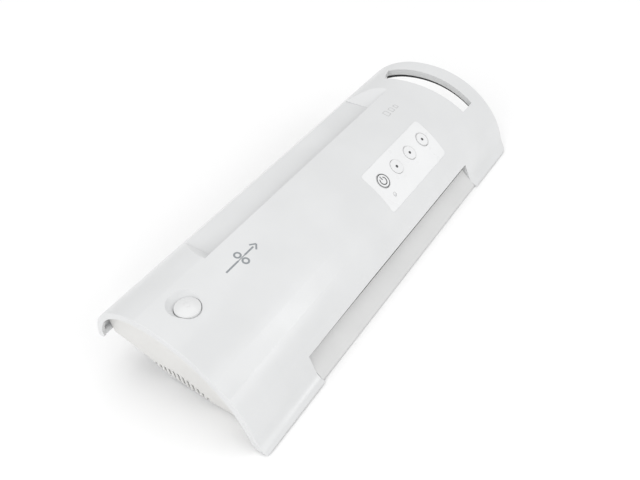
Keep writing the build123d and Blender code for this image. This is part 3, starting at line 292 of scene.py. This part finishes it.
# millimetres
RING_R = 6.05
POWER_RING_WIDTH, MODE_GAP_SHADE_WIDTH = 0.75, 0.45
DOT_R, DOT_HOLE_R = 1.25, 0.05
LENS_RING_IN, LENS_RING_OUT = 1.45, 1.8
CAPTION_BELOW = 3.2
CAPTION_HALF, CAPTION_PITCH, CAPTION_LINE = 1.6, 1.1, 0.35
PICTOGRAM_LINE, NIP_LINE = 1.3, 0.7
ROLLER_IN, ROLLER_OUT, ROLLER_RISE = 1.5, 2.9, 3.5
NIP_HALF = 3.6
ARROW_TAIL, ARROW_TIP = -16.5, 16.3
PAGE_LOW, PAGE_LINE, PAGE_FOLD = -2.6, 0.45, 1.1
PAGE_SIZES = ((0, 4.4, 5.8), (7.8, 3.7, 4.9), (14.6, 3.0, 4.0))  # (left, width, height)
CHEVRON_HALF, CHEVRON_FOOT, CHEVRON_TOP, CHEVRON_LINE = 1.8, 1.0, 2.4, 0.45


def surface_of(node):
    """Search tree over a CAD node's mesh."""
    mesh = frame["nodes"][node].data
    return BVHTree.FromPolygons([v.co for v in mesh.vertices], [p.vertices for p in mesh.polygons])


def sector(radius_in, radius_out, start=0.0, end=tau, centre=(0, 0), steps=48):
    """Ring, or part of one, as rows of (inner, outer) points and whether it closes."""
    closed = abs(end - start - tau) < 1e-6
    rows = []
    for step in range(steps if closed else steps + 1):
        angle = start + (end - start) * step / steps
        radii = (radius_in, radius_out)
        rows.append([(centre[0] + r * cos(angle), centre[1] + r * sin(angle)) for r in radii])
    return rows, closed


def bar(start, end, width, steps=10):
    """Straight stroke as rows of two points; it never closes."""
    run = Vector(end) - Vector(start)
    side = Vector((-run.y, run.x)).normalized() * width / 2
    rows = []
    for step in range(steps + 1):
        point = Vector(start) + run * step / steps
        rows.append([tuple(point - side), tuple(point + side)])
    return rows, False


def page(corner, width, height, line, fold):
    """Outline of a sheet with one folded corner, as strokes."""
    x, y = corner
    right, top = x + width, y + height
    corners = [(x, y), (right, y), (right, top - fold), (right - fold, top), (x, top)]
    return [bar(a, b, line) for a, b in zip(corners, corners[1:] + corners[:1])]


def strokes_to_mesh(name, strokes, lay):
    """Mesh of all strokes, each with a top face and short side walls, placed by lay(u, v, lift)."""
    bm = bmesh.new()
    for rows, closed in strokes:
        top = [[bm.verts.new(lay(u, v, INK_LIFT)) for u, v in row] for row in rows]
        low = [[bm.verts.new(lay(u, v, -INK_LIFT)) for u, v in row] for row in rows]
        count = len(rows)
        for step in range(count if closed else count - 1):
            after = (step + 1) % count
            bm.faces.new((top[step][0], top[step][1], top[after][1], top[after][0]))
            bm.faces.new((low[step][0], low[after][0], low[after][1], low[step][1]))
            bm.faces.new((top[step][0], top[after][0], low[after][0], low[step][0]))
            bm.faces.new((top[step][1], low[step][1], low[after][1], top[after][1]))
        if not closed:
            for end in (0, count - 1):
                bm.faces.new((top[end][0], low[end][0], low[end][1], top[end][1]))
    bmesh.ops.recalc_face_normals(bm, faces=bm.faces)
    mesh = bpy.data.meshes.new(name)
    bm.to_mesh(mesh)
    bm.free()
    piece = bpy.data.objects.new(name, mesh)
    bpy.context.scene.collection.objects.link(piece)
    return piece


def lay_on(tree, plan, seat=None):
    """Placement on a curved surface: points spread over the plane that touches it at plan,
    or at the surface seat offers there, and then drop onto it along the plane's normal."""
    above = Vector((plan[0], plan[1], 1.0))
    touch, normal, _, _ = (seat or tree).ray_cast(above, Vector((0, 0, -1)))
    normal = normal if normal.z > 0 else -normal
    across = normal.cross(Vector((1, 0, 0)))

    def lay(u, v, lift):
        start = touch + Vector((u * MM, 0, 0)) + across * (v * MM) + normal * DROP
        hit, _, _, _ = tree.ray_cast(start, -normal, 2 * DROP)
        return (hit or start - normal * DROP) + normal * lift

    return lay


def lay_flat(centre, lean):
    """Placement on a plane through centre that leans back by lean, x along the machine."""
    across = Vector((0, cos(lean), sin(lean)))
    outward = Vector((0, -sin(lean), cos(lean)))

    def lay(u, v, lift):
        return centre + Vector((u * MM, 0, 0)) + across * (v * MM) + outward * lift

    return lay


def mark(name, strokes, lay, ink, body):
    """One mark that rides a body and is listed under a material slot; most marks are print, the mode-key rings
    painted gap shade.
    """
    piece = strokes_to_mesh(name, strokes, lay)
    piece.data.materials.append(ink)
    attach(piece, body)


joints = {joint["name"]: joint for joint in frame["joints"]}
key_axis = Vector(joints["power_key_press"]["axis"])
key_lean = atan2(key_axis.y, -key_axis.z)
key_outward = -key_axis


def key_face(node):
    """Mean of the vertices on the top of a key, or of the lens beside the keys."""
    mesh = frame["nodes"][node].data
    top = max(v.co.dot(key_outward) for v in mesh.vertices)
    face = [v.co for v in mesh.vertices if v.co.dot(key_outward) > top - FACE_BAND]
    return sum(face, Vector()) / len(face)


POWER_SYMBOL = [
    sector(2.75, 3.65, radians(90 + 38), radians(90 + 322)),
    bar((0, 0.9), (0, 4.3), 0.85),
]
# The power key's ring is print. The mode keys' rings are painted shade of the gap round each cap, with a lighter
# or darker grey on each key as that shade falls.
PRINT_AND_GAP_SHADE_INKS = (INK_DARK, INK_AND_GAP_SHADE_FAINT, INK_AND_GAP_SHADE_PALE, INK_AND_GAP_SHADE_MID)
for key, ink in zip(KEYS, PRINT_AND_GAP_SHADE_INKS):
    lay = lay_flat(key_face(key), key_lean)
    width = POWER_RING_WIDTH if key == "power_key" else MODE_GAP_SHADE_WIDTH
    mark(f"{key}_ring", [sector(RING_R - width, RING_R)], lay, ink, f"{key}_body")
    if key == "power_key":
        mark("power_symbol", POWER_SYMBOL, lay, INK_DARK, "power_key_body")
    else:
        mark(f"{key}_dot", [sector(DOT_HOLE_R, DOT_R)], lay, INK_DARK, f"{key}_body")

overlay_tree = surface_of("control_overlay")
lens_face = key_face("indicator_lens")
lens_lay = lay_on(overlay_tree, lens_face, surface_of("indicator_lens"))
lens_ring = [sector(LENS_RING_IN, LENS_RING_OUT)]
mark("indicator_ring", lens_ring, lens_lay, INK_AND_GAP_SHADE_MID, "housing")
for key in KEYS[1:]:
    key_low, key_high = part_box(key)
    below = ((key_low.x + key_high.x) / 2, key_low.y - CAPTION_BELOW * MM)
    lines = [
        bar((-CAPTION_HALF, level), (CAPTION_HALF, level), CAPTION_LINE)
        for level in (0, CAPTION_PITCH)
    ]
    mark(f"{key}_caption", lines, lay_on(overlay_tree, below), INK_AND_GAP_SHADE_FAINT, "housing")

shell_tree = surface_of("top_shell")
cad_low = cad_box[0]
PICTOGRAM_PLAN = (cad_low[0] + 81 * MM, cad_low[1] + 74 * MM)
PAGES_PLAN = (cad_low[0] + 282 * MM, cad_low[1] + 76 * MM)

# a sheet going between two rollers, with an arrow for its way
ROLLER_PICTOGRAM = [
    bar((ARROW_TAIL, 0), (-NIP_HALF, 0), PICTOGRAM_LINE),
    bar((NIP_HALF, 0), (13.0, 0), PICTOGRAM_LINE),
    bar((-NIP_HALF, 0), (NIP_HALF, 0), NIP_LINE),
    sector(ROLLER_IN, ROLLER_OUT, centre=(0, ROLLER_RISE)),
    sector(ROLLER_IN, ROLLER_OUT, centre=(0, -ROLLER_RISE)),
    bar((12.4, 3.0), (ARROW_TIP, 0), PICTOGRAM_LINE),
    bar((12.4, -3.0), (ARROW_TIP, 0), PICTOGRAM_LINE),
]
roller_lay = lay_on(shell_tree, PICTOGRAM_PLAN)
mark("roller_pictogram", ROLLER_PICTOGRAM, roller_lay, INK_GREY, "housing")
pages = []
for left, width, height in PAGE_SIZES:
    pages.extend(page((left, PAGE_LOW), width, height, PAGE_LINE, PAGE_FOLD))
mark("page_pictogram", pages, lay_on(shell_tree, PAGES_PLAN), INK_AND_GAP_SHADE_MID, "housing")

# two chevrons on the release button
button_low, button_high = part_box("release_button")
button_plan = ((button_low.x + button_high.x) / 2, (button_low.y + button_high.y) / 2)
chevrons = []
for side in (1, -1):
    for foot in (-CHEVRON_HALF, CHEVRON_HALF):
        chevrons.append(bar((foot, side * CHEVRON_FOOT), (0, side * CHEVRON_TOP), CHEVRON_LINE, 6))
button_lay = lay_on(surface_of("release_button"), button_plan)
mark("release_button_mark", chevrons, button_lay, INK_AND_GAP_SHADE_PALE, "button")

# ---------------------------------------------------------------------------
# Return spring of the release button. The real spring shortens as the button goes down; this coil is fixed to the
# housing and keeps its length.
# ---------------------------------------------------------------------------

SPRING_WIRE_R = 0.45 * MM
SPRING_TURNS = 5


def coil_mesh(name, low, high, steps=40, sides=10):
    """Closed tube along a helix that fills the box from low to high."""
    middle = (low + high) / 2
    radius = (high.x - low.x) / 2 - SPRING_WIRE_R
    rise = high.z - low.z - 2 * SPRING_WIRE_R
    bm = bmesh.new()
    rings = []
    for step in range(SPRING_TURNS * steps + 1):
        turned = step / steps
        radial = Vector((cos(tau * turned), sin(tau * turned), 0))
        level = low.z + SPRING_WIRE_R + rise * turned / SPRING_TURNS
        centre = Vector((middle.x, middle.y, level)) + radial * radius
        ring = []
        for side in range(sides):
            around = tau * side / sides
            reach = radial * cos(around) + Vector((0, 0, sin(around)))
            ring.append(bm.verts.new(centre + reach * SPRING_WIRE_R))
        rings.append(ring)
    for before, after in zip(rings, rings[1:]):
        for side in range(sides):
            following = (side + 1) % sides
            bm.faces.new((before[side], before[following], after[following], after[side]))
    bm.faces.new(rings[0])
    bm.faces.new(rings[-1])
    bmesh.ops.recalc_face_normals(bm, faces=bm.faces)
    for face in bm.faces:
        face.smooth = len(face.verts) == 4
    mesh = bpy.data.meshes.new(name)
    bm.to_mesh(mesh)
    bm.free()
    return mesh


spring_low, spring_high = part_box("release_spring")
spring = bpy.data.objects.new("return_coil", coil_mesh("return_coil", spring_low, spring_high))
bpy.context.scene.collection.objects.link(spring)
spring.data.materials.append(SLOT_MATERIALS["spring_steel"])
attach(spring, "housing")
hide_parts("release_spring")
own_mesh(spring)

# ---------------------------------------------------------------------------
# Camera, floor and light
# ---------------------------------------------------------------------------

CAMERA_PLACE = Vector((-0.3778, -0.2342, 0.4001))
CAMERA_RIGHT = Vector((0.5395, -0.8416, -0.0229))
CAMERA_UP = Vector((0.5728, 0.3469, 0.7426))
CAMERA_BACK = Vector((-0.6171, -0.4138, 0.6693))
SENSOR_WIDTH_MM = 36.0
FOCAL_LENGTH_MM = 41.24

camera_data = bpy.data.cameras.new("camera")
camera_data.sensor_width = SENSOR_WIDTH_MM
camera_data.lens = FOCAL_LENGTH_MM
camera_data.clip_start = 0.01
camera = bpy.data.objects.new("camera", camera_data)
turn = Matrix((CAMERA_RIGHT, CAMERA_UP, CAMERA_BACK)).transposed().to_4x4()
camera.matrix_world = Matrix.Translation(CAMERA_PLACE) @ turn
bpy.context.scene.collection.objects.link(camera)
bpy.context.scene.camera = camera


def floor_material():
    """Matt, nearly white floor."""
    s = Shader("studio_floor")
    drift = s.noise(0.6, 2.0)
    tone = s.ramp(drift, "Fac", (0.90, 0.90, 0.90), (0.92, 0.92, 0.92))
    s.link(tone, "Color", s.bsdf, "Base Color")
    s.bsdf.inputs["Roughness"].default_value = 0.9
    s.bsdf.inputs["Specular IOR Level"].default_value = 0.1
    return s.material


FLOOR_HALF = 6.0
bm = bmesh.new()
bmesh.ops.create_grid(bm, x_segments=4, y_segments=4, size=FLOOR_HALF)
floor_mesh = bpy.data.meshes.new("floor")
bm.to_mesh(floor_mesh)
bm.free()
floor = bpy.data.objects.new("floor", floor_mesh)
floor.location.z = cad_low[2]
floor_mesh.materials.append(floor_material())
bpy.context.scene.collection.objects.link(floor)


def soft_light(name, place, aim, size, power):
    """Rectangular light aimed at a point; size in metres and power in watts."""
    data = bpy.data.lights.new(name, "AREA")
    data.shape = "RECTANGLE"
    data.size, data.size_y = size
    data.energy = power
    light = bpy.data.objects.new(name, data)
    light.location = place
    light.visible_camera = False
    light.rotation_euler = (Vector(aim) - Vector(place)).to_track_quat("-Z", "Y").to_euler()
    bpy.context.scene.collection.objects.link(light)


PART_MIDDLE = (0, 0, 0.03)
LEFT_RIM = (-0.19, 0, 0.04)
FRONT_CREASE = (-0.15, -0.04, 0.04)
LIGHTS = (
    ("top_softbox", (0.1, 0.5, 1.6), PART_MIDDLE, (1.8, 1.4), 6.0),
    ("left_softbox", (-1.5, 0.1, 0.8), PART_MIDDLE, (1.2, 1.0), 6.5),
    ("front_softbox", (0.3, -1.5, 0.9), PART_MIDDLE, (1.6, 0.9), 5.5),
    ("rim_light", (-1.14, -0.71, 0.65), LEFT_RIM, (0.3, 0.3), 1.0),
    ("crease_light", (0.13, -0.42, 0.27), FRONT_CREASE, (0.12, 0.12), 0.10),
)
BACKDROP_STRENGTH = 0.82

for light_values in LIGHTS:
    soft_light(*light_values)

world = bpy.data.worlds.new("studio")
world.use_nodes = True
backdrop = world.node_tree.nodes["Background"]
backdrop.inputs["Color"].default_value = (1.0, 1.0, 1.0, 1)
backdrop.inputs["Strength"].default_value = BACKDROP_STRENGTH
bpy.context.scene.world = world
bpy.context.scene.view_settings.view_transform = "Standard"
